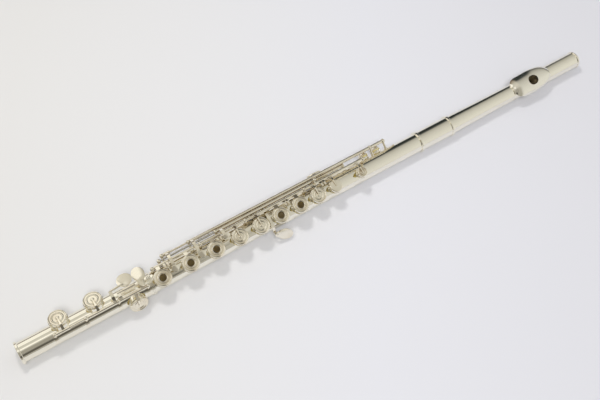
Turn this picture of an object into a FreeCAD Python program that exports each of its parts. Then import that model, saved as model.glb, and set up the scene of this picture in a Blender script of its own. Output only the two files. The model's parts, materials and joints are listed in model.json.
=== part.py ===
import FreeCAD, Part

# Concert flute with a C foot: open-hole keys in line, closed-standing G sharp and trill keys.
# All lengths are in millimetres and all angles in degrees.
#
# The keywork is laid out in the playing frame: X runs along the bore from the open foot end to
# the crown, Z is the way the finger keys face and +Y is the side of the player. An angle round
# the tube is counted from the finger keys towards the player. At the end every piece is rolled
# by LIE_ROLL about the bore, which lays the flute on a flat surface on its rings and on the
# G sharp cup, with +Z straight up.

import math
import os

from FreeCAD import Vector

# ---- tubes -----------------------------------------------------------------------------------
BORE_R = 9.5
TUBE_WALL = 0.4
TUBE_R = BORE_R + TUBE_WALL
SLIDE_GAP = 0.03            # radial clearance of the two telescoping joints
SLEEVE_WALL = 0.5           # wall of the foot socket and of the barrel
RING_R = 11.4               # outer radius of the beads that the flute lies on
RING_WIDTH = 2.8
SOCKET_BEAD = 1.5
SOCKET_BEAD_STEP = 0.2     # each bead of the socket is this much smaller than the one before

FOOT_LENGTH = 134.5         # open end of the foot to the mouth of its socket
FOOT_TENON = 10.6           # depth of the body's tenon in the foot
SOCKET_SEAT = 1.4           # length of foot tube held in the socket behind the tenon
BODY_LENGTH = 327.5         # mouth of the foot socket to the top of the body tube
BARREL_LENGTH = 43.0
BARREL_SEAT = 16.0          # length of body tube held in the barrel
HEAD_STOP = 1.0             # between the body tube and the head tenon inside the barrel
HEAD_LENGTH = 202.0
HEAD_NECK = 6.0             # straight head tube shown above the barrel before its taper
MOUTH_TO_END = 66.0         # centre of the mouth hole to the end of the head tube
TAPER_TO_MOUTH = 13.0
BODY_TOP = FOOT_LENGTH + BODY_LENGTH
BARREL_START = BODY_TOP - BARREL_SEAT
BARREL_END = BARREL_START + BARREL_LENGTH
HEAD_START = BODY_TOP + HEAD_STOP
HEAD_END = HEAD_START + HEAD_LENGTH
EMBOUCHURE_X = HEAD_END - MOUTH_TO_END
HEAD_TAPER_START = BARREL_END + HEAD_NECK
HEAD_TAPER_END = EMBOUCHURE_X - TAPER_TO_MOUTH
HEAD_R = 8.9                # outer radius of the head round the lip plate
HEAD_WALL = 0.4
TAPER_STEPS = 8

# ---- mouthpiece, stopper and crown -----------------------------------------------------------
HOLE_LENGTH = 11.8
HOLE_WIDTH = 10.4
HOLE_CORNER = 5.0
HEAD_TURN = 10.0            # the lip plate is turned in towards the player
PLATE_TOP = 14.3            # height of the plate's outer face over the bore axis at the hole
PLATE_WALL = 0.9
RISER_WALL = 1.6
STOPPER_SETBACK = 17.0      # stopper face to the centre of the mouth hole
STOPPER_PLATE = 0.9
CORK_LENGTH = 12.0
CORK_GAP = 0.05
SCREW_R = 2.6
SCREW_TIP = 5.0             # how far the stopper screw ends short of the crown's face
CROWN_R = 9.7
CROWN_LENGTH = 4.8
CROWN_PLUG = 7.0
THREAD_PITCH = 0.75

# ---- tone holes -------------------------------------------------------------------------------
CHIMNEY_HEIGHT = 2.4
CHIMNEY_WALL = 0.45
RIM_BEAD = 0.25
# Step from the hole before, counted from the seam of foot and body towards the crown; then angle
# round the tube, hole radius and cup radius.
BODY_STEPS = {
    "e": (9.0, 0.0, 7.6, 8.9),
    "f": (29.5, 0.0, 7.6, 8.9),
    "f_sharp": (27.7, 0.0, 7.5, 8.8),
    "g": (26.1, 0.0, 7.3, 8.6),
    "g_sharp_twin": (23.8, 0.0, 7.3, 8.6),
    "a": (22.3, 0.0, 7.2, 8.5),
    "b_flat": (22.6, 0.0, 7.2, 8.5),
    "b": (21.3, 0.0, 7.0, 8.3),
    "c_twin": (20.5, 0.0, 5.6, 7.0),
    "c_sharp": (31.9, 0.0, 3.7, 5.8),
    "d_trill": (16.2, 98.0, 4.0, 5.4),
    "d_sharp_trill": (14.9, 98.0, 4.0, 5.4),
}
# The same from the socket towards the open end. The first step is counted between the socket and
# the chimney's bead.
FOOT_STEPS = {
    "d_sharp_low": (0.2, -51.0, 7.4, 9.3),
    "d_low": (35.9, 52.0, 7.9, 9.3),
    "c_sharp_low": (34.5, 52.0, 7.9, 9.3),
}
# Holes at the back, each level with a hole of the front row.
BACK_HOLES = {
    "g_sharp": ("g_sharp_twin", 130.0, 7.0, 8.3),
    "c_thumb": ("c_twin", 122.0, 5.7, 7.1),
}


def placed_holes():
    """Centre along the bore, angle, hole radius and cup radius of every tone hole, by name."""
    placed = {}
    x = FOOT_LENGTH
    for name, (step, *rest) in BODY_STEPS.items():
        x += step
        placed[name] = (x, *rest)
    nearest = next(iter(FOOT_STEPS.values()))[2] + CHIMNEY_WALL + RIM_BEAD
    x = FOOT_LENGTH - FOOT_TENON - SOCKET_SEAT - nearest
    for name, (step, *rest) in FOOT_STEPS.items():
        x -= step
        placed[name] = (x, *rest)
    for name, (level, *rest) in BACK_HOLES.items():
        placed[name] = (placed[level][0], *rest)
    return placed


HOLES = placed_holes()
FOOT_HOLES = tuple(FOOT_STEPS)


def past_hole(hole, gap):
    """Place along the bore at a distance from a hole's centre, towards the crown."""
    return HOLES[hole][0] + gap



# ---- cups and pads ---------------------------------------------------------------------------
CUP_HEIGHT = 2.7
CUP_WALL = 0.5
CUP_ROOF = 1.0
CUP_GROOVE = 0.55          # depth of the turned grooves in the top of a cup
PAD_DROP = 0.9              # how far a pad stands below its cup
PAD_GAP = 0.06              # left between pad and rim where a key is shut
PAD_EDGE = 0.1              # pad is this much smaller than the cup's inside
FINGER_HOLE_R = 3.6
KEY_RISE = 2.5              # how far an open-standing cup is held off its hole
SHUT_SEAT = TUBE_R + CHIMNEY_HEIGHT + PAD_GAP
CUP_SEAT = SHUT_SEAT + PAD_DROP
CUP_TOP = CUP_SEAT + CUP_HEIGHT

# ---- rods: (y, z) of each hinge line in the playing frame --------------------------------------
STEEL_R = 1.0
HINGE_R = 1.7
HINGE_GAP = 0.05            # radial running clearance of a hinge tube on its steel
SIDE_GAP = 0.2              # between the ends of neighbouring hinge tubes and posts
MAIN_ROD = (12.2, 11.2)
LEVER_ROD = (15.7, 8.6)
TRILL_ROD = (18.8, 5.6)
BACK_ROD = (15.3, 2.7)
FOOT_ROD = (0.9, 16.4)

# ---- posts and ribs --------------------------------------------------------------------------
RIB_WALL = 0.9
RIB_R = TUBE_R + RIB_WALL
RIB_FROM, RIB_TO = 57.5, 79.0
RIB_START, RIB_END = FOOT_LENGTH + 3.1, past_hole("d_sharp_trill", 11.7)
RIB_POINT = 8.0
RIB_CLEAR = 0.15            # round the trill chimneys that pass through the rib
POST_WIDTH = 2.8
STEM_R = 1.15
BALL_R = 2.3
FOOT_PAD_FROM, FOOT_PAD_TO = -48.0, -4.0
FOOT_PAD_LENGTH = 3.6
MAIN_POSTS = (
    past_hole("e", -4.6),
    past_hole("f", 17.0),
    past_hole("g", 12.8),
    past_hole("b_flat", 12.1),
    past_hole("c_sharp", 9.0),
)
LEVER_POSTS = (past_hole("e", 4.5), past_hole("f_sharp", 8.3), past_hole("b", 5.7))
TRILL_POSTS = (
    past_hole("e", 9.5),
    past_hole("f", 8.6),
    past_hole("d_trill", 7.6),
    past_hole("d_sharp_trill", 9.1),
)
G_SHARP_POSTS = (past_hole("g_sharp", -5.4), past_hole("g_sharp", 15.8))
THUMB_POSTS = (past_hole("c_thumb", -18.9), past_hole("c_thumb", 20.9))
FOOT_POSTS = (
    past_hole("c_sharp_low", -8.8),
    past_hole("d_low", -12.9),
    past_hole("d_sharp_low", -16.2),
    past_hole("d_sharp_low", 13.6),
)
# Where one hinge tube of the main rod ends and the next begins.
D_TO_E = past_hole("e", 8.4)
F_TO_F_SHARP = past_hole("f_sharp", 7.3)
G_TO_A = past_hole("a", 11.1)
B_FLAT_TO_C = past_hole("b", 10.2)
C_TO_D_SHARP = past_hole("d_sharp_low", -8.4)      # the same on the foot rod

# ---- arms and touch pieces -------------------------------------------------------------------
ARM_WIDTH = 2.8
ARM_THICK = 1.2
LEVER_TRAVEL = 8.0          # turn of the closed-standing keys and levers
TOUCH_THICK = 1.3
THUMB_ANGLE, THUMB_REACH = 121.0, 19.4
G_ARM_X, G_ARM_WIDTH = past_hole("g_sharp", 11.05), 2.8
G_ARM_R, G_ARM_THICK = 13.0, 1.35
ROLLER_R, ROLLER_PIN_R = 1.6, 0.7
ROLLER_X, ROLLER_LENGTH = C_TO_D_SHARP + SIDE_GAP, 11.0
ROLLER_AXIS = (7.8, 15.2)
SPRING_R = 0.3
FELT_THICK = 2.6
LUG_WIDTH, LUG_THICK = 2.2, 0.9
LUG_SCREW_R = 0.75


def rest_roll():
    """Angle that lets the shut G sharp cup touch the plane under the rings."""
    cup_x, cup_angle, hole_r, cup_r = HOLES["g_sharp"]
    corner = math.hypot(CUP_SEAT + CUP_HEIGHT * 0.5, cup_r)
    aside = math.degrees(math.atan2(cup_r, CUP_SEAT + CUP_HEIGHT * 0.5))
    lean = math.degrees(math.acos(RING_R / corner))
    return cup_angle + aside + lean - 180.0


LIE_ROLL = rest_roll()


# ---- small helpers ---------------------------------------------------------------------------
def polar(angle, radius):
    """(y, z) of a point at an angle round the tube."""
    a = math.radians(angle)
    return radius * math.sin(a), radius * math.cos(a)


def rod_x(x0, x1, radius, at=(0.0, 0.0)):
    """Solid round bar along X."""
    return Part.makeCylinder(radius, x1 - x0, Vector(x0, at[0], at[1]), Vector(1, 0, 0))


def pipe_x(x0, x1, outer, inner, at=(0.0, 0.0)):
    """Round tube along X."""
    return rod_x(x0, x1, outer, at).cut(rod_x(x0 - 1, x1 + 1, inner, at))


def turned(shape, angle):
    """Shape turned round the bore, towards the player."""
    return shape.rotated(Vector(0, 0, 0), Vector(1, 0, 0), -angle)


def hinged(shape, axis, angle):
    """Shape turned about a hinge line, by the right-hand rule about +X."""
    return shape.rotated(Vector(0, axis[0], axis[1]), Vector(1, 0, 0), angle)


def lathe(profile, x=0.0, axis=(0, 0, 1)):
    """Closed (radius, height) outline turned about the Z line at x, or about the bore."""
    if axis == (0, 0, 1):
        points = [Vector(x + r, 0, z) for r, z in profile]
        base = Vector(x, 0, 0)
    else:
        points = [Vector(z, 0, r) for r, z in profile]
        base = Vector(0, 0, 0)
    face = Part.Face(Part.makePolygon(points + points[:1]))
    return face.revolve(base, Vector(*axis), 360)


def sector_x(x0, x1, inner, outer, start, end):
    """Piece of a ring round the bore between two angles, drawn out along X."""
    mid = (start + end) / 2

    def at(radius, angle):
        y, z = polar(angle, radius)
        return Vector(x0, y, z)

    edges = [
        Part.Arc(at(outer, start), at(outer, mid), at(outer, end)).toShape(),
        Part.makeLine(at(outer, end), at(inner, end)),
        Part.Arc(at(inner, end), at(inner, mid), at(inner, start)).toShape(),
        Part.makeLine(at(inner, start), at(outer, start)),
    ]
    return Part.Face(Part.Wire(edges)).extrude(Vector(x1 - x0, 0, 0))


def ribbon(points, thick, x0, x1):
    """Strap that follows a line of (y, z) points, with square mitres, from x0 to x1."""
    left, right = [], []
    for i, (y, z) in enumerate(points):
        before = points[max(i - 1, 0)]
        after = points[min(i + 1, len(points) - 1)]
        a = Vector(0, y - before[0], z - before[1])
        b = Vector(0, after[0] - y, after[1] - z)
        if a.Length < 1e-6:
            a = b
        if b.Length < 1e-6:
            b = a
        a.normalize()
        b.normalize()
        bisector = a + b
        bisector.normalize()
        reach = thick / 2 / max(bisector.dot(a), 0.5)
        left.append(Vector(x0, y - bisector.z * reach, z + bisector.y * reach))
        right.append(Vector(x0, y + bisector.z * reach, z - bisector.y * reach))
    outline = left + right[::-1]
    return Part.Face(Part.makePolygon(outline + outline[:1])).extrude(Vector(x1 - x0, 0, 0))


def bar(start, end, radius):
    """Round bar between two points."""
    way = Vector(*end) - Vector(*start)
    return Part.makeCylinder(radius, way.Length, Vector(*start), way)


def ball(radius, x, at):
    """Sphere on a rod line."""
    return Part.makeSphere(radius, Vector(x, at[0], at[1]))


def oval_plate(x, at, facing, length, width, thick, swing=0.0):
    """Flat oval plate with its faces rounded over, facing away from the tube at an angle.

    swing turns the plate's long axis in its own plane, its crown end away from the player.
    """
    r = 0.5
    edge = min(thick * 0.35, r)
    big = Part.makeCylinder(1.0, thick, Vector(0, 0, -thick / 2))
    big = big.makeChamfer(edge * 2 / min(length, width), big.Edges[:1] + big.Edges[2:])
    matrix = FreeCAD.Matrix()
    matrix.scale(Vector(length / 2, width / 2, 1))
    plate = big.transformGeometry(matrix)
    plate.rotate(Vector(0, 0, 0), Vector(0, 0, 1), -swing)
    plate.rotate(Vector(0, 0, 0), Vector(1, 0, 0), -facing)
    plate.translate(Vector(x, at[0], at[1]))
    return plate


def rounded_prism(length, width, corner, x, z0, z1):
    """Rounded rectangle drawn out along Z, centred on the bore."""
    box = Part.makeBox(length, width, z1 - z0, Vector(x - length / 2, -width / 2, z0))
    upright = [e for e in box.Edges if abs(e.tangentAt(e.FirstParameter).z) > 0.9]
    return box.makeFillet(corner, upright)


def joined(*shapes):
    """One solid from pieces that meet."""
    whole = shapes[0].multiFuse(list(shapes[1:]))
    return whole.removeSplitter()


# ---- tubes with their chimneys -----------------------------------------------------------------
def chimney(hole):
    """Tone hole chimney, from inside the tube wall up to its beaded rim."""
    x, angle, hole_r, cup_r = HOLES[hole]
    rim = TUBE_R + CHIMNEY_HEIGHT
    outer = hole_r + CHIMNEY_WALL
    base = BORE_R * 0.4
    wall = Part.makeCylinder(outer, rim - base, Vector(x, 0, base))
    bead = Part.makeCylinder(outer + RIM_BEAD, 0.6, Vector(x, 0, rim - 0.6))
    return turned(wall.fuse(bead), angle)


def hole_cutter(hole):
    """The open way through one chimney."""
    x, angle, hole_r, cup_r = HOLES[hole]
    return turned(Part.makeCylinder(hole_r, TUBE_R + CHIMNEY_HEIGHT + 2, Vector(x, 0, 0)), angle)


def bored_tube(x0, x1, holes):
    """Tube along the bore with chimneys for the named holes."""
    tube = rod_x(x0, x1, TUBE_R).multiFuse([chimney(h) for h in holes])
    tube = tube.cut(rod_x(x0 - 1, x1 + 1, BORE_R))
    for h in holes:
        tube = tube.cut(hole_cutter(h))
    return tube.removeSplitter()


def foot_tube():
    return bored_tube(0.0, FOOT_LENGTH - FOOT_TENON, FOOT_HOLES)


def body_tube():
    holes = [h for h in HOLES if h not in FOOT_HOLES]
    return bored_tube(FOOT_LENGTH - FOOT_TENON + SLIDE_GAP * 10, BODY_TOP, holes)


def beaded(x0, x1, radius):
    """Solid round bead along the bore with rounded shoulders."""
    round_off = (x1 - x0) * 0.22
    flat = rod_x(x0, x1, radius)
    return flat.makeFillet(round_off, [e for e in flat.Edges if abs(e.Length - 2 * math.pi * radius) < 0.01])


def foot_end_ring():
    return beaded(0.0, RING_WIDTH, RING_R).cut(rod_x(-1, RING_WIDTH + 1, TUBE_R))


def socket_r():
    return TUBE_R + SLIDE_GAP + SLEEVE_WALL


def foot_socket():
    """Sleeve on the foot tube that takes the body's tenon, with three beads at its mouth."""
    seat = FOOT_LENGTH - FOOT_TENON
    start = seat - SOCKET_SEAT
    sleeve = rod_x(start, FOOT_LENGTH, socket_r())
    for i in range(3):
        end = FOOT_LENGTH - SOCKET_BEAD * i
        sleeve = sleeve.fuse(beaded(end - SOCKET_BEAD, end, RING_R - SOCKET_BEAD_STEP * i))
    sleeve = sleeve.cut(rod_x(start - 1, seat, TUBE_R))
    return sleeve.cut(rod_x(seat, FOOT_LENGTH + 1, TUBE_R + SLIDE_GAP))


def barrel():
    """Sleeve soldered over the top of the body tube that takes the head tenon."""
    end = BARREL_END
    sleeve = rod_x(BARREL_START, end, socket_r())
    sleeve = sleeve.fuse(beaded(BARREL_START, BARREL_START + RING_WIDTH, RING_R))
    sleeve = sleeve.fuse(beaded(end - RING_WIDTH, end, RING_R))
    sleeve = sleeve.cut(rod_x(BARREL_START - 1, BODY_TOP, TUBE_R))
    return sleeve.cut(rod_x(BODY_TOP, end + 1, TUBE_R + SLIDE_GAP))


# ---- head ----------------------------------------------------------------------------------------
def head_solid(inset, x0, x1):
    """Solid of revolution inside the head tube's parabolic taper, less an inset all round."""
    length = HEAD_TAPER_END - HEAD_TAPER_START
    taper = [
        (HEAD_TAPER_START + length * i / TAPER_STEPS,
         HEAD_R - inset + (TUBE_R - HEAD_R) * (1 - i / TAPER_STEPS) ** 2)
        for i in range(TAPER_STEPS + 1)
    ]
    line = [(x0, 0.0), (x0, TUBE_R - inset)] + taper + [(x1, HEAD_R - inset), (x1, 0.0)]
    return lathe([(r, x) for x, r in line], axis=(1, 0, 0))


def mouth_cutter():
    return rounded_prism(HOLE_LENGTH, HOLE_WIDTH, HOLE_CORNER, EMBOUCHURE_X, 0, PLATE_TOP + 5)


def head_tube():
    tube = head_solid(0.0, HEAD_START, HEAD_END)
    tube = tube.cut(head_solid(HEAD_WALL, HEAD_START - 1, HEAD_END + 1))
    return turned(tube.cut(mouth_cutter()), HEAD_TURN)


def plate_section(offset, top, low_angle, high_angle, wall):
    """Closed crescent across the lip plate at a distance from the mouth hole."""
    x = EMBOUCHURE_X + offset
    sink = 1.6 * (top - HEAD_R) / (PLATE_TOP - HEAD_R)
    radius = top + sink

    def at(r, angle):
        y, z = polar(angle, r)
        return Vector(x, y, z - sink)

    inner = radius - wall
    return Part.Wire(
        [
            Part.Arc(at(radius, -low_angle), at(radius, 0), at(radius, high_angle)).toShape(),
            Part.makeLine(at(radius, high_angle), at(inner, high_angle)),
            Part.Arc(at(inner, high_angle), at(inner, 0), at(inner, -low_angle)).toShape(),
            Part.makeLine(at(inner, -low_angle), at(radius, -low_angle)),
        ]
    )


def plate_blank():
    """Lip plate before the mouth hole and the tube are cut from it."""
    low = HEAD_R + PLATE_WALL
    sections = [
        (-25.5, low, 24.0, 40.0),
        (-22.5, low + 2.4, 40.0, 52.0),
        (-12.0, PLATE_TOP - 0.4, 50.0, 55.0),
        (0.0, PLATE_TOP, 48.0, 55.0),
        (12.0, PLATE_TOP - 0.5, 42.0, 54.0),
        (20.0, low + 2.4, 32.0, 50.0),
        (25.5, low, 20.0, 34.0),
    ]
    return Part.makeLoft([plate_section(*section, PLATE_WALL) for section in sections], True, False)


def lip_plate():
    plate = plate_blank().cut(head_solid(0.0, HEAD_START, HEAD_END))
    return turned(plate.cut(mouth_cutter()), HEAD_TURN)


def riser():
    """Chimney between the head tube and the underside of the lip plate."""
    wall = rounded_prism(
        HOLE_LENGTH + 2 * RISER_WALL,
        HOLE_WIDTH + 2 * RISER_WALL,
        HOLE_CORNER + RISER_WALL,
        EMBOUCHURE_X,
        HEAD_R * 0.5,
        PLATE_TOP + 2,
    )
    under = plate_blank()
    above = Part.makeBox(60, 40, 20, Vector(EMBOUCHURE_X - 30, -20, PLATE_TOP - PLATE_WALL))
    wall = wall.cut(head_solid(0.0, HEAD_START, HEAD_END)).cut(under).cut(above)
    wall = wall.cut(mouth_cutter())
    inside = [s for s in wall.Solids if s.CenterOfMass.z < PLATE_TOP - PLATE_WALL / 2]
    return turned(max(inside, key=lambda s: s.Volume), HEAD_TURN)


def stopper_start():
    return EMBOUCHURE_X + STOPPER_SETBACK


def stopper_screw():
    """Face plate and threaded stem that carry the cork."""
    bore = HEAD_R - HEAD_WALL
    x = stopper_start()
    stem_end = HEAD_END + CROWN_LENGTH - SCREW_TIP
    nut = x + STOPPER_PLATE + CORK_LENGTH
    return joined(
        rod_x(x, x + STOPPER_PLATE, bore - 2 * CORK_GAP),
        rod_x(x + STOPPER_PLATE, stem_end, SCREW_R),
        rod_x(nut, nut + STOPPER_PLATE, bore - 2 * CORK_GAP),
    )


def stopper_cork():
    x = stopper_start() + STOPPER_PLATE
    return pipe_x(x, x + CORK_LENGTH, HEAD_R - HEAD_WALL - CORK_GAP, SCREW_R)


def crown():
    """Domed cap with a plug that fits the head tube and a threaded hole for the stopper stem."""
    plug_r = HEAD_R - HEAD_WALL - CORK_GAP
    face = HEAD_END + CROWN_LENGTH
    profile = [
        (0.0, HEAD_END - CROWN_PLUG),
        (plug_r, HEAD_END - CROWN_PLUG),
        (plug_r, HEAD_END + SLIDE_GAP),
        (CROWN_R - 0.3, HEAD_END + SLIDE_GAP),
        (CROWN_R, HEAD_END + 0.3),
        (CROWN_R, HEAD_END + 1.0),
        (CROWN_R - 0.4, HEAD_END + 1.4),
        (CROWN_R - 0.8, HEAD_END + 1.4),
        (CROWN_R - 0.8, HEAD_END + 2.0),
        (CROWN_R - 1.2, face - 1.9),
        (CROWN_R - 2.4, face - 1.0),
        (CROWN_R - 4.4, face - 0.3),
        (CROWN_R - 7.0, face),
        (0.0, face),
    ]
    cap = lathe(profile, axis=(1, 0, 0))
    bore = rod_x(HEAD_END - CROWN_PLUG - 1, face - SCREW_TIP + 1.8, SCREW_R + CORK_GAP)
    return cap.cut(bore)


# ---- posts, ribs and steels --------------------------------------------------------------------------
def main_rib():
    """Strap under the posts, pointed at both ends and cut out round the trill chimneys."""
    rib = sector_x(RIB_START - RIB_POINT, RIB_END + RIB_POINT, TUBE_R, RIB_R, RIB_FROM, RIB_TO)
    middle = (RIB_FROM + RIB_TO) / 2
    half = math.radians((RIB_TO - RIB_FROM) / 2) * RIB_R
    outline = [
        Vector(RIB_START - 1.5, -half * 1.2, 0),
        Vector(RIB_START + RIB_POINT * 0.2, -half * 1.2, 0),
        Vector(RIB_END, -half * 1.2, 0),
        Vector(RIB_END + RIB_POINT, 0, 0),
        Vector(RIB_END, half * 1.2, 0),
        Vector(RIB_START + RIB_POINT * 0.2, half * 1.2, 0),
        Vector(RIB_START - 1.5, half * 1.2, 0),
    ]
    plan = Part.Face(Part.makePolygon(outline + outline[:1])).extrude(Vector(0, 0, RIB_R + 2))
    rib = rib.common(turned(plan, middle))
    for hole in ("d_trill", "d_sharp_trill", "g_sharp", "c_thumb"):
        x, angle, hole_r, cup_r = HOLES[hole]
        around = hole_r + CHIMNEY_WALL + RIM_BEAD + RIB_CLEAR
        rib = rib.cut(turned(Part.makeCylinder(around, RIB_R + 8, Vector(x, 0, 0)), angle))
    return max(rib.Solids, key=lambda s: s.Volume)


def post(x, rod, base_angle, base_r, bore):
    """Turned post: a waisted stem from the rib up to a ball bored for the steel."""
    foot = polar(base_angle, base_r - 1.0)
    stem = bar((x, foot[0], foot[1]), (x, rod[0], rod[1]), STEM_R)
    collar_top = polar(base_angle, base_r + 0.9)
    collar = bar((x, foot[0], foot[1]), (x, collar_top[0], collar_top[1]), STEM_R + 0.55)
    head = ball(BALL_R, x, rod).common(
        Part.makeBox(POST_WIDTH, 20, 20, Vector(x - POST_WIDTH / 2, rod[0] - 10, rod[1] - 10))
    )
    whole = stem.multiFuse([collar, head]).cut(rod_x(x - 5, x + 5, bore, rod))
    return whole.cut(rod_x(x - 5, x + 5, base_r)).removeSplitter()


def post_row(xs, rod, base_angle, bore):
    return Part.makeCompound([post(x, rod, base_angle, RIB_R, bore) for x in xs])


def main_posts():
    return post_row(MAIN_POSTS, MAIN_ROD, 62.0, STEEL_R)


def lever_posts():
    return post_row(LEVER_POSTS, LEVER_ROD, 66.0, STEEL_R)


def trill_posts():
    return post_row(TRILL_POSTS, TRILL_ROD, 66.0, STEEL_R + HINGE_GAP)


def back_posts():
    return post_row(G_SHARP_POSTS + THUMB_POSTS, BACK_ROD, 73.0, STEEL_R)


def foot_post_pads():
    """Soldered feet under the foot joint's posts."""
    half = FOOT_PAD_LENGTH / 2
    return Part.makeCompound(
        [sector_x(x - half, x + half, TUBE_R, RIB_R, FOOT_PAD_FROM, FOOT_PAD_TO) for x in FOOT_POSTS[:-1]]
        + [
            sector_x(
                FOOT_POSTS[-1] - 2.4, FOOT_POSTS[-1] + 1.0, socket_r(), socket_r() + 0.6,
                FOOT_PAD_FROM, FOOT_PAD_TO,
            )
        ]
    )


def foot_posts():
    rows = [post(x, FOOT_ROD, -12.0, RIB_R, STEEL_R + HINGE_GAP) for x in FOOT_POSTS[:-1]]
    rows.append(post(FOOT_POSTS[-1], FOOT_ROD, -12.0, socket_r() + 0.6, STEEL_R + HINGE_GAP))
    return Part.makeCompound(rows)


def steel(x0, x1, rod):
    """Hinge rod with a screwdriver slot in each end."""
    shaft = rod_x(x0, x1, STEEL_R, rod)
    for x in (x0, x1):
        slot = Part.makeBox(0.8, 4, 0.4, Vector(x - 0.4, rod[0] - 2, rod[1] - 0.2))
        shaft = shaft.cut(slot)
    return shaft


def past(posts, first, last):
    """Span of a steel that fills the posts it passes through."""
    return posts[first] - POST_WIDTH / 2 - 0.3, posts[last] + POST_WIDTH / 2 + 0.3


def main_steels():
    lower = (MAIN_POSTS[0] - POST_WIDTH / 2 - 0.3, MAIN_POSTS[2])
    upper = (MAIN_POSTS[2], MAIN_POSTS[-1] + POST_WIDTH / 2 + 0.3)
    return Part.makeCompound([steel(*lower, MAIN_ROD), steel(*upper, MAIN_ROD)])


def lever_steel():
    return steel(*past(LEVER_POSTS, 0, -1), LEVER_ROD)


def back_steels():
    return Part.makeCompound(
        [steel(*past(G_SHARP_POSTS, 0, -1), BACK_ROD), steel(*past(THUMB_POSTS, 0, -1), BACK_ROD)]
    )


# ---- key parts ------------------------------------------------------------------------------------------
def cup(hole, open_hole=False, flat=False):
    """Shut cup over a hole, in the hole's own upright frame."""
    x, angle, hole_r, radius = HOLES[hole]
    z = CUP_SEAT
    step = min((radius - 1.8) / 7.0, 1.0)
    inside = radius - CUP_WALL
    roof = CUP_HEIGHT - CUP_ROOF
    top = z + CUP_HEIGHT
    groove = CUP_GROOVE
    outer = [
        (radius, z),
        (radius, z + 0.55),
        (radius - 0.35, z + 0.85),
        (radius - 0.35, top - 1.0),
        (radius - 0.75, top - 0.2),
        (radius - 1.15, top),
    ]
    if open_hole:
        rim = FINGER_HOLE_R
        crown_side = [
            (radius - 1.75, top - 0.15),
            (radius - 2.15, top - groove),
            (rim + 2.1, top - groove),
            (rim + 1.7, top - 0.05),
            (rim + 1.1, top),
            (rim + 0.75, top - 0.5),
            (rim + 0.25, top - 0.6),
            (rim, top - 0.8),
            (rim, z - PAD_DROP + 0.35),
            (rim + 0.4, z - PAD_DROP + 0.35),
            (rim + 0.4, z + roof),
        ]
    elif flat:
        crown_side = [(radius - 1.7, top + 0.05), (0.0, top + 0.15), (0.0, z + roof)]
    else:
        crown_side = [
            (radius - 1.7, top - 0.15),
            (radius - 1.7 - 0.4 * step, top - groove),
            (radius - 1.7 - 1.5 * step, top - groove),
            (radius - 1.7 - 1.9 * step, top - 0.15),
            (radius - 1.7 - 2.5 * step, top),
            (radius - 1.7 - 3.0 * step, top - 0.2),
            (radius - 1.7 - 3.4 * step, top - groove),
            (1.9 * step, top - groove),
            (1.5 * step, top - 0.1),
            (0.9 * step, top + 0.1),
            (0.0, top + 0.15),
            (0.0, z + roof),
        ]
    return lathe(outer + crown_side + [(inside, z + roof), (inside, z)], x)


def pad(hole, open_hole=False):
    """Felt pad in its skin, filling the shut cup over a hole."""
    x, angle, hole_r, cup_r = HOLES[hole]
    radius = cup_r - CUP_WALL - PAD_EDGE
    low, top = CUP_SEAT - PAD_DROP, CUP_SEAT + CUP_HEIGHT - CUP_ROOF
    inner = FINGER_HOLE_R + 0.4 if open_hole else 0.0
    profile = [
        (inner, low + 0.15 if open_hole else low),
        (radius - 0.5, low),
        (radius, low + 0.4),
        (radius, top),
        (inner, top),
    ]
    return lathe(profile, x)


def local(rod, hole):
    """A rod's (y, z) in the upright frame of a hole."""
    angle = math.radians(HOLES[hole][1])
    y, z = rod
    return y * math.cos(angle) - z * math.sin(angle), y * math.sin(angle) + z * math.cos(angle)


def pointed_arm(hole, rod):
    """Arm from the hinge tube over the rim to a point at the cup's centre."""
    x = HOLES[hole][0]
    cup_r = HOLES[hole][3]
    y, z = local(rod, hole)
    side = math.copysign(1.0, y)
    top = CUP_TOP + ARM_THICK * 0.32
    reach = min(cup_r - 0.4, abs(y) - HINGE_R * 0.6)
    line = [(y, z + HINGE_R * 0.62), (side * reach, top), (0.0, top - 0.15)]
    strap = ribbon(line, ARM_THICK, x - ARM_WIDTH, x + ARM_WIDTH)
    half, tip = ARM_WIDTH / 2, 0.35
    root = y + side * 1.2
    outline = [
        Vector(x - half, root, z - 3),
        Vector(x + half, root, z - 3),
        Vector(x + tip, 0, z - 3),
        Vector(x - tip, 0, z - 3),
    ]
    plan = Part.Face(Part.makePolygon(outline + outline[:1])).extrude(Vector(0, 0, 14))
    return strap.common(plan)


def side_arm(hole, rod):
    """Short bracket from the hinge tube to the wall of an open-hole cup."""
    x = HOLES[hole][0]
    cup_r = HOLES[hole][3]
    y, z = local(rod, hole)
    side = math.copysign(1.0, y)
    line = [(y, z + HINGE_R * 0.35), (side * (cup_r - 0.9), CUP_SEAT + CUP_HEIGHT * 0.62)]
    return ribbon(line, ARM_THICK * 1.15, x - ARM_WIDTH * 0.7, x + ARM_WIDTH * 0.7)


def hinge_tube(x0, x1, radius, rod):
    """Tube that turns on a steel."""
    return pipe_x(x0, x1, radius, STEEL_R + HINGE_GAP, rod)


def cup_set(hole, rod, style):
    """A cup and its arm, shut, in the playing frame."""
    made = cup(hole, style == "open", style == "flat")
    arm = side_arm(hole, rod) if style == "open" else pointed_arm(hole, rod)
    x = HOLES[hole][0]
    if style == "open":
        arm = arm.cut(Part.makeCylinder(HOLES[hole][3] - CUP_WALL, 30, Vector(x, 0, 0)))
    else:
        inner = HOLES[hole][3] - CUP_WALL
        arm = arm.cut(Part.makeCylinder(inner, CUP_SEAT + CUP_HEIGHT - CUP_ROOF, Vector(x, 0, 0)))
    return turned(made.fuse(arm), HOLES[hole][1])


def open_angle(hole, rod):
    """Turn that lifts a cup's centre off its hole by KEY_RISE."""
    y, z = local(rod, hole)
    return math.degrees(math.asin(KEY_RISE / abs(y)))


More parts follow.
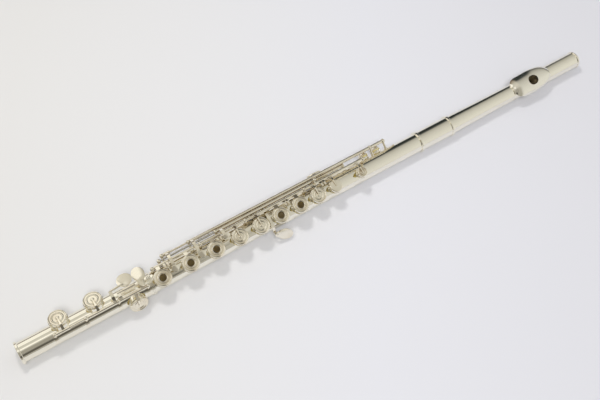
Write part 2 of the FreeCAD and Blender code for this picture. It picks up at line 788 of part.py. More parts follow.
def key_on(rod, spans, cups, extras=(), solid_core=None):
    """One rigid key: hinge tubes, cups with arms, and any touch pieces."""
    make = rod_x if solid_core else hinge_tube
    tubes = [make(a, b, HINGE_R, rod) for a, b in spans]
    pieces = tubes + [cup_set(h, rod, s) for h, s in cups] + list(extras)
    body = pieces[0].multiFuse(pieces[1:])
    if solid_core is None:
        longest = [min(a for a, b in spans) - 1, max(b for a, b in spans) + 1]
        return body.cut(rod_x(longest[0], longest[1], STEEL_R + HINGE_GAP, rod)).removeSplitter()
    return body.fuse(steel(solid_core[0], solid_core[1], rod)).removeSplitter()


# ---- keys -----------------------------------------------------------------------------------------------
# Each entry: rod, hinge tube spans, ((hole, cup style), ...), sense of the opening turn about +X.
POST_HALF = POST_WIDTH / 2 + SIDE_GAP
MAIN_KEYS = {
    "d_key": ([(MAIN_POSTS[0] + POST_HALF, D_TO_E)], [("e", "open")]),
    "e_key": ([(D_TO_E + SIDE_GAP, MAIN_POSTS[1] - POST_HALF)], [("f", "open")]),
    "f_key": ([(MAIN_POSTS[1] + POST_HALF, F_TO_F_SHARP)], [("f_sharp", "open")]),
    "f_sharp_key": ([(F_TO_F_SHARP + SIDE_GAP, MAIN_POSTS[2] - POST_HALF)], [("g", "closed")]),
    "g_key": ([(MAIN_POSTS[2] + POST_HALF, G_TO_A)], [("g_sharp_twin", "closed"), ("a", "open")]),
    "a_key": ([(G_TO_A + SIDE_GAP, MAIN_POSTS[3] - POST_HALF)], [("b_flat", "open")]),
    "b_flat_key": ([(MAIN_POSTS[3] + POST_HALF, B_FLAT_TO_C)], [("b", "closed")]),
    "c_key": ([(B_FLAT_TO_C + SIDE_GAP, MAIN_POSTS[4] - POST_HALF)], [("c_twin", "flat"), ("c_sharp", "closed")]),
}


def clutch_lug(x):
    """Tab on a hinge tube with its adjusting screw, where one key closes the next."""
    line = [(MAIN_ROD[0] - 0.6, MAIN_ROD[1] + 1.2), (9.4, 14.4), (6.2, 14.9)]
    tab = ribbon(line, LUG_THICK, x - LUG_WIDTH / 2, x + LUG_WIDTH / 2)
    screw = Part.makeCylinder(LUG_SCREW_R, 2.0, Vector(x, 7.0, 14.2))
    return [tab, screw]


def main_key(name):
    """Finger key on the main rod, held open as at rest."""
    spans, cups = MAIN_KEYS[name]
    start, end = spans[0]
    lugs = []
    if start - SIDE_GAP in [e[0][0][1] for e in MAIN_KEYS.values()]:
        lugs += clutch_lug(start + LUG_WIDTH * 0.7)
    if end + SIDE_GAP in [e[0][0][0] for e in MAIN_KEYS.values()]:
        lugs += clutch_lug(end - LUG_WIDTH * 0.7)
    key = key_on(MAIN_ROD, spans, cups, lugs)
    return hinged(key, MAIN_ROD, -open_angle(cups[0][0], MAIN_ROD))


def pads_for(cups, rod, sense):
    """Pads of a key, held open by its own angle."""
    made = [turned(pad(h, s == "open"), HOLES[h][1]) for h, s in cups]
    angle = sense * open_angle(cups[0][0], rod) if sense else 0.0
    return Part.makeCompound([hinged(p, rod, angle) for p in made])


def trill_touch(x, width, aside=0.0):
    """Lever from the trill rod over the other rods to a round touch between the finger cups."""
    line = [(18.8, 7.0), (17.6, 11.0), (14.6, 14.6), (10.6, 16.9), (3.4, 17.2)]
    strap = ribbon(line, ARM_THICK, x - width / 2, x + width / 2)
    return strap.fuse(oval_plate(x + aside, (3.4, 17.2), 0.0, 7.0, 7.0, TOUCH_THICK))


def d_trill_key():
    start = TRILL_POSTS[1] + POST_HALF
    end = TRILL_POSTS[2] - POST_HALF
    return key_on(TRILL_ROD, [(start, end)], [("d_trill", "closed")], [trill_touch(start + 1.6, 3.0, 2.2)])


def d_sharp_trill_key():
    """Touch and cup at the two ends, joined by the steel that runs inside the D trill's tube."""
    start = TRILL_POSTS[0] + POST_HALF
    spans = [(start, start + 7.0), (TRILL_POSTS[2] + POST_HALF, TRILL_POSTS[3] - POST_HALF)]
    core = past(TRILL_POSTS, 0, -1)
    touch = trill_touch(start + 3.2, 3.0)
    return key_on(TRILL_ROD, spans, [("d_sharp_trill", "closed")], [touch], core)


def b_flat_lever():
    """Side lever: a touch beside the F cup and a lug over the B flat key's arm."""
    start, end = LEVER_POSTS[1] + POST_HALF, LEVER_POSTS[2] - POST_HALF
    x = start + 3.6
    touch_line = [(15.7, 10.0), (14.2, 14.0), (11.0, 15.8), (8.2, 16.0)]
    touch = ribbon(touch_line, ARM_THICK, x - 1.5, x + 1.5)
    knob = oval_plate(x + 1.2, (8.2, 16.0), 0.0, 8.4, 5.0, TOUCH_THICK)
    lug_line = [(15.7, 10.0), (14.6, 14.9), (12.2, 16.2)]
    lug = ribbon(lug_line, ARM_THICK, end - 2.0, end - 0.4)
    return key_on(LEVER_ROD, [(start, end)], [], [touch, knob, lug])


def g_sharp_key():
    """Lever that crosses over the tube between two cups, and its cup at the back."""
    start = G_SHARP_POSTS[0] + POST_HALF
    end = G_SHARP_POSTS[1] - POST_HALF
    half = G_ARM_WIDTH / 2
    arch = sector_x(G_ARM_X - half, G_ARM_X + half, G_ARM_R, G_ARM_R + G_ARM_THICK, -58.0, 79.0)
    end_y, end_z = polar(-57.0, G_ARM_R + G_ARM_THICK / 2)
    neck = bar((G_ARM_X, end_y, end_z), (G_ARM_X + 2.4, -15.4, 8.0), 1.3)
    web = oval_plate(G_ARM_X + 3.2, (-15.6, 7.9), -32.0, 9.0, 6.0, TOUCH_THICK, 34.0)
    touch = oval_plate(G_ARM_X + 9.9, (-18.2, 6.3), -32.0, 17.6, 11.0, TOUCH_THICK, 30.0)
    extras = [arch, neck, ball(1.3, G_ARM_X, (end_y, end_z)), web, touch]
    return key_on(BACK_ROD, [(start, end)], [("g_sharp", "closed")], extras)


def thumb_key():
    """Thumb plate with its own cup at the back, held open."""
    start = THUMB_POSTS[0] + POST_HALF
    end = start + 26.0
    at = polar(THUMB_ANGLE, THUMB_REACH)
    arm = ribbon([(16.4, 1.6), (18.2, -2.0), at], ARM_THICK * 1.2, start + 7.0, start + 11.0)
    plate = oval_plate(start + 10.5, at, THUMB_ANGLE, 17.0, 10.5, TOUCH_THICK)
    key = key_on(BACK_ROD, [(start, end)], [("c_thumb", "closed")], [arm, plate])
    return hinged(key, BACK_ROD, open_angle("c_thumb", BACK_ROD))


def thumb_b_flat_lever():
    """Small second thumb plate on the same steel."""
    start = THUMB_POSTS[0] + POST_HALF + 26.0 + SIDE_GAP
    end = THUMB_POSTS[1] - POST_HALF
    at = polar(THUMB_ANGLE, THUMB_REACH)
    x = end - 3.0
    arm = ribbon([(16.4, 1.6), (18.2, -2.0), at], ARM_THICK * 1.2, x - 1.6, x + 1.6)
    plate = oval_plate(x + 0.6, at, THUMB_ANGLE, 11.0, 9.0, TOUCH_THICK)
    return key_on(BACK_ROD, [(start, end)], [], [arm, plate])


# ---- foot keys ------------------------------------------------------------------------------------------
def low_c_key():
    """Cup near the end and a roller arm near the body, joined by the turning steel."""
    start = FOOT_POSTS[0] + POST_HALF
    arm_x = FOOT_POSTS[2] + POST_HALF + 1.6
    spans = [(start, start + 13.0), (FOOT_POSTS[2] + POST_HALF, C_TO_D_SHARP)]
    core = past(FOOT_POSTS, 0, -1)
    y, z = ROLLER_AXIS
    line = [(FOOT_ROD[0], FOOT_ROD[1] + 1.0), (4.6, 17.6), (y - 0.4, z + 0.6)]
    arm = ribbon(line, ARM_THICK, arm_x - 1.5, arm_x + 1.5)
    boss = rod_x(arm_x - 1.5, arm_x + 1.5, 1.3, ROLLER_AXIS)
    tip = ROLLER_X + ROLLER_LENGTH
    pin = rod_x(arm_x, tip + SIDE_GAP + 0.8, ROLLER_PIN_R, ROLLER_AXIS)
    knob = rod_x(tip + SIDE_GAP, tip + SIDE_GAP + 0.9, 1.25, ROLLER_AXIS)
    stop = rod_x(arm_x, ROLLER_X - SIDE_GAP, 1.15, ROLLER_AXIS)
    key = key_on(FOOT_ROD, spans, [("c_sharp_low", "closed")], [arm, boss, pin, knob, stop], core)
    return hinged(key, FOOT_ROD, open_angle("c_sharp_low", FOOT_ROD))


def low_c_roller():
    roller = pipe_x(ROLLER_X, ROLLER_X + ROLLER_LENGTH, ROLLER_R, ROLLER_PIN_R + HINGE_GAP, ROLLER_AXIS)
    return hinged(roller, FOOT_ROD, open_angle("c_sharp_low", FOOT_ROD))


def low_c_sharp_key():
    start, end = FOOT_POSTS[1] + POST_HALF, FOOT_POSTS[2] - POST_HALF
    line = [(FOOT_ROD[0], FOOT_ROD[1] + 1.0), (7.5, 18.0), (12.4, 13.9)]
    arm = ribbon(line, ARM_THICK, end - 3.0, end)
    hub = past_hole("d_sharp_low", -2.6)
    link = bar((end - 1.5, 12.2, 13.9), (hub - 2.8, 13.0, 12.8), 1.1)
    plate = oval_plate(hub - 0.4, (15.2, 12.0), 28.0, 15.0, 12.0, TOUCH_THICK)
    key = key_on(FOOT_ROD, [(start, end)], [("d_low", "closed")], [arm, link, plate])
    return hinged(key, FOOT_ROD, open_angle("d_low", FOOT_ROD))


def low_d_sharp_key():
    """Closed-standing key: teardrop touch on one side of the rod, cup on the other."""
    start, end = C_TO_D_SHARP + SIDE_GAP, FOOT_POSTS[3] - POST_HALF
    hub = past_hole("d_sharp_low", 10.0)
    line = [(FOOT_ROD[0], FOOT_ROD[1] + 1.0), (5.4, 18.2), (10.0, 16.0), (13.0, 13.3)]
    neck = ribbon(line, ARM_THICK, hub - 3.0, hub + 0.2)
    plate = oval_plate(hub + 1.0, (14.6, 12.4), 34.0, 12.4, 15.0, TOUCH_THICK)
    tail = oval_plate(hub - 0.2, (8.4, 16.2), 34.0, 6.8, 13.0, TOUCH_THICK)
    return key_on(FOOT_ROD, [(start, end)], [("d_sharp_low", "closed")], [neck, plate, tail])


def low_d_sharp_felt():
    """Bumper glued under the teardrop touch."""
    top = Vector(past_hole("d_sharp_low", 10.0), 11.9, 12.7)
    felt = Part.makeCylinder(1.9, FELT_THICK, Vector(0, 0, -FELT_THICK))
    felt.rotate(Vector(0, 0, 0), Vector(1, 0, 0), -34.0)
    felt.translate(top)
    return felt.cut(low_d_sharp_key())


# ---- springs --------------------------------------------------------------------------------------------
def needles(xs, rod, length, depth):
    """Needle springs planted in posts, lying between the tube and the hinge tubes."""
    size = math.hypot(*rod)
    at = (rod[0] * (size - depth) / size, rod[1] * (size - depth) / size)
    return [rod_x(x + POST_WIDTH / 2, x + POST_WIDTH / 2 + length, SPRING_R, at) for x in xs]


def needle_springs():
    return Part.makeCompound(needles(MAIN_POSTS[:4], MAIN_ROD, 14.0, 2.75))


# ---- everything together ----------------------------------------------------------------------------------
def nodes():
    """Every node of the flute in the playing frame, by name."""
    made = {
        "foot_tube": foot_tube(),
        "foot_end_ring": foot_end_ring(),
        "foot_socket": foot_socket(),
        "foot_post_pads": foot_post_pads(),
        "foot_posts": foot_posts(),
        "low_c_key": low_c_key(),
        "low_c_pad": pads_for([("c_sharp_low", "closed")], FOOT_ROD, 1),
        "low_c_roller": low_c_roller(),
        "low_c_sharp_key": low_c_sharp_key(),
        "low_c_sharp_pad": pads_for([("d_low", "closed")], FOOT_ROD, 1),
        "low_d_sharp_key": low_d_sharp_key(),
        "low_d_sharp_felt": low_d_sharp_felt(),
        "low_d_sharp_pad": pads_for([("d_sharp_low", "closed")], FOOT_ROD, 0),
        "body_tube": body_tube(),
        "barrel": barrel(),
        "main_rib": main_rib(),
        "main_posts": main_posts(),
        "lever_posts": lever_posts(),
        "trill_posts": trill_posts(),
        "back_posts": back_posts(),
        "main_steels": main_steels(),
        "lever_steel": lever_steel(),
        "back_steels": back_steels(),
        "needle_springs": needle_springs(),
        "d_trill_key": d_trill_key(),
        "d_trill_pad": pads_for([("d_trill", "closed")], TRILL_ROD, 0),
        "d_sharp_trill_key": d_sharp_trill_key(),
        "d_sharp_trill_pad": pads_for([("d_sharp_trill", "closed")], TRILL_ROD, 0),
        "b_flat_lever": b_flat_lever(),
        "g_sharp_key": g_sharp_key(),
        "g_sharp_pad": pads_for([("g_sharp", "closed")], BACK_ROD, 0),
        "thumb_key": thumb_key(),
        "thumb_pad": pads_for([("c_thumb", "closed")], BACK_ROD, 1),
        "thumb_b_flat_lever": thumb_b_flat_lever(),
        "head_tube": head_tube(),
        "riser": riser(),
        "lip_plate": lip_plate(),
        "stopper_screw": stopper_screw(),
        "stopper_cork": stopper_cork(),
        "crown": crown(),
    }
    for name, (spans, cups) in MAIN_KEYS.items():
        made[name] = main_key(name)
        made[name.replace("_key", "_pad")] = pads_for(cups, MAIN_ROD, -1)
    return made


def lying(shape):
    """Shape rolled about the bore into the way the flute lies."""
    return shape.rotated(Vector(0, 0, 0), Vector(1, 0, 0), LIE_ROLL)


def main():
    os.makedirs("parts", exist_ok=True)
    for name, shape in nodes().items():
        lying(shape).exportStep("parts/" + name + ".step")


if __name__ == "__main__":
    main()
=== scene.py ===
"""Looks of a concert flute with a C foot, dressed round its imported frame.

Lengths are metres in the row's frame: +X runs along the bore from the foot to the crown and +Z is
up from the surface that the flute lies on.
"""

import json
import logging
import math
from dataclasses import dataclass
from enum import Enum
from typing import Any, Sequence

import bmesh
import bpy
import numpy as np
from mathutils import Matrix, Vector


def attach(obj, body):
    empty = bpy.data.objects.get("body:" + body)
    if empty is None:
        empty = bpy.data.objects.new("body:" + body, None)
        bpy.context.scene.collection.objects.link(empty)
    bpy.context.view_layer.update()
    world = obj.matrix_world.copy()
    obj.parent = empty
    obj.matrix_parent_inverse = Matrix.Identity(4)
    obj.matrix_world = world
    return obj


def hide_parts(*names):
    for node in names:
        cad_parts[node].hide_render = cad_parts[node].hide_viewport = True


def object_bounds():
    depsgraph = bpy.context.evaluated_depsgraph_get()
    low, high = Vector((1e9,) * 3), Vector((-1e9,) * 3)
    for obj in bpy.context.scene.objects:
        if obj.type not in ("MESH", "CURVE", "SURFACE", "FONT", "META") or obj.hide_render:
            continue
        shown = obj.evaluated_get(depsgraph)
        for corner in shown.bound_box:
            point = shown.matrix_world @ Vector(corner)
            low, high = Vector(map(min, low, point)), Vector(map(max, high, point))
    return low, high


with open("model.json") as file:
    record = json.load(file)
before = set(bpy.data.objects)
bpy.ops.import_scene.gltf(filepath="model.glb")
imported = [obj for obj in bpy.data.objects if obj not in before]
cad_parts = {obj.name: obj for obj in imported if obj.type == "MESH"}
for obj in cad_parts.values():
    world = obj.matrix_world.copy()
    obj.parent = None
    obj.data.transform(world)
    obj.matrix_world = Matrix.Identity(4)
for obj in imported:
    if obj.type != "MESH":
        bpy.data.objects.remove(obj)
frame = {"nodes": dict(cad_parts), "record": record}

Triple = tuple[float, float, float]
Colour = Triple
Point = Triple
Span = tuple[float, float]
Stops = tuple[tuple[float, Colour], ...]

LOG = logging.getLogger("flute")
CAD_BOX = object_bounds()
MM = 0.001
WELD = 1e-7
TOWARD_CROWN: Triple = (1.0, 0.0, 0.0)
TOWARD_FAR: Triple = (0.0, 1.0, 0.0)
ACROSS_BORE: Triple = (0.0, 1.0, 1.0)


# ---- node trees ----------------------------------------------------------------------------------


class Wire:
    """A node socket whose arithmetic adds Math nodes to its tree."""

    def __init__(self, shop: "NodeShop", socket: bpy.types.NodeSocket) -> None:
        """Keep the socket and the shop that adds nodes to its tree.

        Args:
            shop: Maker of the tree's nodes.
            socket: The output that this wire carries.
        """
        self.shop = shop
        self.socket = socket

    def _math(self, operation: str, first: Any, second: Any = None) -> "Wire":
        """Add one Math node.

        Args:
            operation: Name of the Math node's operation.
            first: Its first value or wire.
            second: Its second value or wire, if it takes one.

        Returns:
            The node's result.
        """
        values = {0: first} if second is None else {0: first, 1: second}
        return self.shop.node("ShaderNodeMath", {"operation": operation}, values)

    def __add__(self, other: Any) -> "Wire":
        """Sum of two values."""
        return self._math("ADD", self, other)

    def __radd__(self, other: Any) -> "Wire":
        """Sum with a number on the left."""
        return self._math("ADD", other, self)

    def __sub__(self, other: Any) -> "Wire":
        """Difference of two values."""
        return self._math("SUBTRACT", self, other)

    def __rsub__(self, other: Any) -> "Wire":
        """Difference from a number on the left."""
        return self._math("SUBTRACT", other, self)

    def __mul__(self, other: Any) -> "Wire":
        """Product of two values."""
        return self._math("MULTIPLY", self, other)

    def __rmul__(self, other: Any) -> "Wire":
        """Product with a number on the left."""
        return self._math("MULTIPLY", other, self)

    def __abs__(self) -> "Wire":
        """Size without its sign."""
        return self._math("ABSOLUTE", self)

    def sine(self) -> "Wire":
        """Sine of an angle in radians."""
        return self._math("SINE", self)

    def cosine(self) -> "Wire":
        """Cosine of an angle in radians."""
        return self._math("COSINE", self)

    def as_share(self) -> "Wire":
        """Value from -1 to 1, moved to 0 to 1."""
        return self * 0.5 + 0.5

    def between(self, low: float, high: float, start: float = 0.0, end: float = 1.0) -> "Wire":
        """Smooth step of the value between two levels.

        Args:
            low: Value at which the result is start.
            high: Value at which the result is end.
            start: Result at and below low.
            end: Result at and above high.

        Returns:
            The stepped value.
        """
        sockets = {"Value": self, "From Min": low, "From Max": high, "To Min": start, "To Max": end}
        return self.shop.node("ShaderNodeMapRange", {"interpolation_type": "SMOOTHSTEP"}, sockets)


class NodeShop:
    """Adds nodes to one tree."""

    def __init__(self, tree: bpy.types.NodeTree, end: str = "ShaderNodeOutputMaterial") -> None:
        """Start from an empty tree.

        Args:
            tree: The tree to fill.
            end: Type of its output node.
        """
        self.tree = tree
        self.end = end
        tree.nodes.clear()

    def node(
        self, kind: str, settings: dict[str, Any], sockets: dict[Any, Any], output: Any = 0
    ) -> Wire:
        """Add one node.

        Args:
            kind: The node's type.
            settings: Properties set before its sockets. A ramp's stops go under "stops", and a
                curve's points under "points".
            sockets: Value, wire or list of wires by input name or index.
            output: Name or index of the output wanted.

        Returns:
            A wire from that output.
        """
        made = self.tree.nodes.new(kind)
        for name, value in settings.items():
            if name == "stops":
                self._set_stops(made.color_ramp, value)
            elif name == "points":
                self._set_points(made.mapping, value)
            else:
                setattr(made, name, value)
        for name, value in sockets.items():
            for item in value if isinstance(value, list) else [value]:
                if isinstance(item, Wire):
                    self.tree.links.new(item.socket, made.inputs[name])
                else:
                    made.inputs[name].default_value = item
        return Wire(self, made.outputs[output])

    @staticmethod
    def _set_stops(ramp: bpy.types.ColorRamp, stops: Stops) -> None:
        """Set a ramp's stops.

        Args:
            ramp: The ramp to set.
            stops: Position and colour of each stop, in order.
        """
        while len(ramp.elements) < len(stops):
            ramp.elements.new(1.0)
        for element, (place, colour) in zip(ramp.elements, stops):
            element.position = place
            element.color = (*colour, 1.0)

    @staticmethod
    def _set_points(mapping: bpy.types.CurveMapping, points: Sequence[Span]) -> None:
        """Set the points of a curve.

        Args:
            mapping: The curve to set.
            points: Its points, from left to right.
        """
        line = mapping.curves[0]
        while len(line.points) < len(points):
            line.points.new(0.5, 0.5)
        for dot, spot in zip(line.points, points):
            dot.location = spot
        mapping.update()

    def place(self) -> Wire:
        """Position on the piece, in the row's frame."""
        return self.node("ShaderNodeTexCoord", {}, {}, "Object")

    def part(self, vector: Wire, axis: str) -> Wire:
        """One component of a vector.

        Args:
            vector: The vector.
            axis: "X", "Y" or "Z".

        Returns:
            The component.
        """
        return self.node("ShaderNodeSeparateXYZ", {}, {0: vector}, axis)

    def ray(self, kind: str) -> Wire:
        """Whether the surface is met by one kind of ray.

        Args:
            kind: "Camera" or "Glossy".

        Returns:
            1 for that kind of ray and 0 for others.
        """
        return self.node("ShaderNodeLightPath", {}, {}, f"Is {kind} Ray")

    def noise(self, at: Wire, scale: float, detail: float, stretch: Triple = (1, 1, 1)) -> Wire:
        """Soft noise from 0 to 1.

        Args:
            at: Position that it is read at.
            scale: Its features per metre.
            detail: Octaves.
            stretch: Factor on each axis of the position.

        Returns:
            The noise value.
        """
        sockets = {"Vector": self.vector("MULTIPLY", at, stretch), "Scale": scale, "Detail": detail}
        return self.node("ShaderNodeTexNoise", {}, sockets)

    def ramp(self, factor: Wire, stops: Stops) -> Wire:
        """Colour read off a ramp.

        Args:
            factor: Where to read it, from 0 to 1.
            stops: Position and colour of each stop, in order.

        Returns:
            The colour.
        """
        return self.node("ShaderNodeValToRGB", {"stops": stops}, {"Fac": factor}, "Color")

    def mix(self, factor: Any, first: Any, second: Any) -> Wire:
        """Blend of two colours.

        Args:
            factor: Share of the second.
            first: Colour or wire at factor 0.
            second: Colour or wire at factor 1.

        Returns:
            The blended colour.
        """
        pair = [c if isinstance(c, Wire) else (*c, 1.0) for c in (first, second)]
        sockets = {0: factor, 6: pair[0], 7: pair[1]}
        return self.node("ShaderNodeMix", {"data_type": "RGBA"}, sockets, 2)

    def mix_shaders(self, factor: Wire, first: Wire, second: Wire) -> Wire:
        """Blend of two shaders.

        Args:
            factor: Share of the second.
            first: Shader at factor 0.
            second: Shader at factor 1.

        Returns:
            The blended shader.
        """
        return self.node("ShaderNodeMixShader", {}, {0: factor, 1: first, 2: second})

    def glow(self, colour: Colour) -> Wire:
        """Shader that shines with one colour.

        Args:
            colour: Its colour, at strength 1.

        Returns:
            The shader.
        """
        return self.node("ShaderNodeEmission", {}, {"Color": (*colour, 1.0), "Strength": 1.0})

    def vector(self, operation: str, first: Any, second: Any = None) -> Wire:
        """Vector result of one Vector Math node.

        Args:
            operation: Its operation.
            first: First vector.
            second: Second vector, or a factor for SCALE.

        Returns:
            The node's vector.
        """
        sockets: dict[Any, Any] = {0: first}
        if second is not None:
            sockets["Scale" if operation == "SCALE" else 1] = second
        return self.node("ShaderNodeVectorMath", {"operation": operation}, sockets, "Vector")

    def measure(self, operation: str, first: Wire, second: Any) -> Wire:
        """Number that one Vector Math node gives for two vectors.

        Args:
            operation: Its operation, such as DOT_PRODUCT.
            first: First vector.
            second: Second vector.

        Returns:
            The number.
        """
        sockets = {0: first, 1: second}
        return self.node("ShaderNodeVectorMath", {"operation": operation}, sockets, "Value")

    def out_from_bore(self, at: Wire) -> Wire:
        """Unit vector that points away from the X axis.

        Args:
            at: A position or direction.

        Returns:
            The vector.
        """
        return self.vector("NORMALIZE", self.vector("MULTIPLY", at, ACROSS_BORE))

    def turned_into(self, vector: Wire, source: str, target: str) -> Wire:
        """A normal carried between object and world space.

        Args:
            vector: The normal.
            source: Space that it is in.
            target: Space that it is wanted in.

        Returns:
            The normal in the other space.
        """
        settings = {"vector_type": "NORMAL", "convert_from": source, "convert_to": target}
        return self.node("ShaderNodeVectorTransform", settings, {"Vector": vector})

    def finish(self, result: Wire) -> None:
        """Join a result to the tree's output.

        Args:
            result: The surface, background or geometry.
        """
        end = self.tree.nodes.new(self.end)
        self.tree.links.new(result.socket, end.inputs[0])


def new_material(name: str) -> tuple[bpy.types.Material, NodeShop]:
    """Make an empty material.

    Args:
        name: Its name.

    Returns:
        The material and the shop for its tree.
    """
    material = bpy.data.materials.new(name)
    material.use_nodes = True
    return material, NodeShop(material.node_tree)


class Recipe(NodeShop):
    """A geometry tree with named inputs."""

    KINDS = {int: "NodeSocketInt", float: "NodeSocketFloat", type(None): "NodeSocketMaterial"}

    def __init__(self, name: str, inlets: dict[str, Any]) -> None:
        """Start the tree with its inputs.

        Args:
            name: The tree's name.
            inlets: Default of each input by name; None stands for a material.
        """
        tree = bpy.data.node_groups.new(name, "GeometryNodeTree")
        super().__init__(tree, "NodeGroupOutput")
        tree.interface.new_socket("Geometry", in_out="INPUT", socket_type="NodeSocketGeometry")
        for label, value in inlets.items():
            kind = self.KINDS[type(value)]
            made = tree.interface.new_socket(label, in_out="INPUT", socket_type=kind)
            if value is not None:
                made.default_value = value
        tree.interface.new_socket("Geometry", in_out="OUTPUT", socket_type="NodeSocketGeometry")
        self.start = tree.nodes.new("NodeGroupInput")

    def inlet(self, name: str) -> Wire:
        """One of the tree's inputs.

        Args:
            name: The input's name.

        Returns:
            A wire from it.
        """
        return Wire(self, self.start.outputs[name])

    def named(self, name: str, kind: str) -> Wire:
        """An attribute stored on the source mesh.

        Args:
            name: The attribute's name.
            kind: Its data type.

        Returns:
            The attribute.
        """
        return self.node("GeometryNodeInputNamedAttribute", {"data_type": kind}, {"Name": name})

    def join(self, wires: Sequence[Wire]) -> Wire:
        """Join geometry in the order given.

        Args:
            wires: The pieces of geometry, first to last.

        Returns:
            The joined geometry.
        """
        return self.node("GeometryNodeJoinGeometry", {}, {0: list(reversed(wires))})

    def curve(self, value: Wire, points: Sequence[Span]) -> Wire:
        """Read a value off a smooth curve.

        Args:
            value: Where to read it, from 0 to 1.
            points: The curve's points, from left to right.

        Returns:
            The curve's height there.
        """
        return self.node("ShaderNodeFloatCurve", {"points": points}, {"Value": value})

    def finish_clad(self, geometry: Wire, finish: Wire) -> None:
        """End the tree in real, smooth geometry with its finish.

        Args:
            geometry: What the tree made.
            finish: The material's input.
        """
        shading = {"Geometry": geometry, "Shade Smooth": True}
        smooth = self.node("GeometryNodeSetShadeSmooth", {}, shading)
        real = self.node("GeometryNodeRealizeInstances", {}, {"Geometry": smooth})
        cladding = {"Geometry": real, "Material": finish}
        self.finish(self.node("GeometryNodeSetMaterial", {}, cladding))

    def make(self, name: str, source: bpy.types.Mesh, sizes: dict[str, Any]) -> bpy.types.Object:
        """Run the tree on a mesh and keep the result as a piece.

        Args:
            name: The piece's name.
            source: Mesh that the tree starts from.
            sizes: Values of the tree's inputs by name.

        Returns:
            The linked piece, with no modifier left on it.
        """
        piece = bpy.data.objects.new(name, source)
        bpy.context.scene.collection.objects.link(piece)
        modifier = piece.modifiers.new("recipe", "NODES")
        modifier.node_group = self.tree
        idents = {item.name: item.identifier for item in self.tree.interface.items_tree}
        for label, value in sizes.items():
            modifier[idents[label]] = value
        ready = piece.evaluated_get(bpy.context.evaluated_depsgraph_get())
        result = bpy.data.meshes.new_from_object(ready)
        piece.modifiers.clear()
        piece.data = result
        return piece


# ---- finishes ------------------------------------------------------------------------------------


class Turning(Enum):
    """How a silver piece's surface runs."""

    ROUND_BORE = "round_bore"
    FREE = "free"


@dataclass(frozen=True)
class Silver:
    """Polished silver plate, faintly clouded, with hairlines and nooks darkened towards the tarnish
    colour: partly tarnish in the hollows, partly painted shade.
    """

    name: str
    tint: Colour
    # Colour of the clouding, and of the nooks, where it is partly tarnish and partly painted shade.
    tarnish_and_shade_colour: Colour
    roughness: float
    turning: Turning = Turning.FREE
    # Strength of the nooks' darkening, found by ambient occlusion: partly tarnish, partly painted
    # shade.
    nook_tarnish_and_shade: float = 0.0
    nook_reach: float = 2.2 * MM
    nook_range: Span = (0.35, 0.97)
    cloud_scale: float = 55.0
    cloud_range: Span = (0.45, 0.8)
    cloud_share: float = 0.35
    breath_scale: float = 320.0
    breath_stretch: Triple = (0.4, 1.0, 1.0)
    breath_range: Span = (0.3, 0.75)
    breath_gain: Span = (0.8, 1.35)
    hairline_scale: float = 2600.0
    hairline_stretch: Triple = (0.06, 1.0, 1.0)
    hairline_depth: float = 0.02 * MM
    scratch: float = 0.06
    edge_radius: float = 0.12 * MM
    facet_range: Span = (0.08, 0.2)
    bore_tint: Colour = (1.0, 0.90, 0.73)
    bore_roughness: float = 0.42
    bore_range: Span = (-0.6, -0.2)

    def build(self) -> bpy.types.Material:
        """Make the material.

        Returns:
            The finished material.
        """
        material, shop = new_material(self.name)
        at = shop.place()
        cloud = shop.noise(at, self.cloud_scale, detail=4.0)
        breath = shop.noise(at, self.breath_scale, 3.0, self.breath_stretch)
        veil = cloud.between(*self.cloud_range) * self.cloud_share
        colour = shop.mix(veil, self.tint, self.tarnish_and_shade_colour)
        # Nooks found by ambient occlusion are darkened towards the tarnish colour: partly tarnish
        # in the hollows, partly painted shade.
        if self.nook_tarnish_and_shade > 0.0:
            reach = {"Distance": self.nook_reach}
            open_air = shop.node("ShaderNodeAmbientOcclusion", {"samples": 8}, reach, "AO")
            nook = open_air.between(*self.nook_range, self.nook_tarnish_and_shade, 0.0)
            colour = shop.mix(nook, colour, self.tarnish_and_shade_colour)
        limits = [self.roughness * gain for gain in self.breath_gain]
        rough = breath.between(*self.breath_range, *limits)
        if self.turning is Turning.ROUND_BORE:
            inner = self._inward(shop, at)
            colour = shop.mix(inner, colour, self.bore_tint)
            rough = rough + inner * self.bore_roughness
        bump = {
            "Strength": self.scratch,
            "Distance": self.hairline_depth,
            "Height": shop.noise(at, self.hairline_scale, 2.0, self.hairline_stretch),
            "Normal": self._normal(shop, at),
        }
        surface = {
            "Base Color": colour,
            "Metallic": 1.0,
            "Roughness": rough,
            "Normal": shop.node("ShaderNodeBump", {}, bump),
        }
        shop.finish(shop.node("ShaderNodeBsdfPrincipled", {}, surface))
        return material

    @staticmethod
    def _facing(shop: NodeShop) -> Wire:
        """Surface direction in object space.

        Args:
            shop: Maker of nodes.

        Returns:
            The normal.
        """
        own = shop.node("ShaderNodeNewGeometry", {}, {}, "Normal")
        return shop.turned_into(own, "WORLD", "OBJECT")

    def _inward(self, shop: NodeShop, at: Wire) -> Wire:
        """Share of a surface that faces the bore's axis.

        Args:
            shop: Maker of nodes.
            at: Position on the piece.

        Returns:
            1 on the wall of the bore and 0 outside.
        """
        outward = shop.measure("DOT_PRODUCT", self._facing(shop), shop.out_from_bore(at))
        return outward.between(*self.bore_range, 1.0, 0.0)

    def _normal(self, shop: NodeShop, at: Wire) -> Wire:
        """Surface direction: rounded edges, or no facets where the piece is turned about the bore.

        Args:
            shop: Maker of nodes.
            at: Position on the piece.

        Returns:
            The normal in world space.
        """
        if self.turning is Turning.FREE:
            return shop.node("ShaderNodeBevel", {"samples": 4}, {"Radius": self.edge_radius})
        facing = self._facing(shop)
        around = shop.vector("CROSS_PRODUCT", shop.out_from_bore(at), TOWARD_CROWN)
        lean = shop.measure("DOT_PRODUCT", facing, around)
        facet = abs(lean).between(*self.facet_range, 1.0, 0.0)
        straight = shop.vector("SUBTRACT", facing, shop.vector("SCALE", around, lean * facet))
        return shop.turned_into(shop.vector("NORMALIZE", straight), "OBJECT", "WORLD")


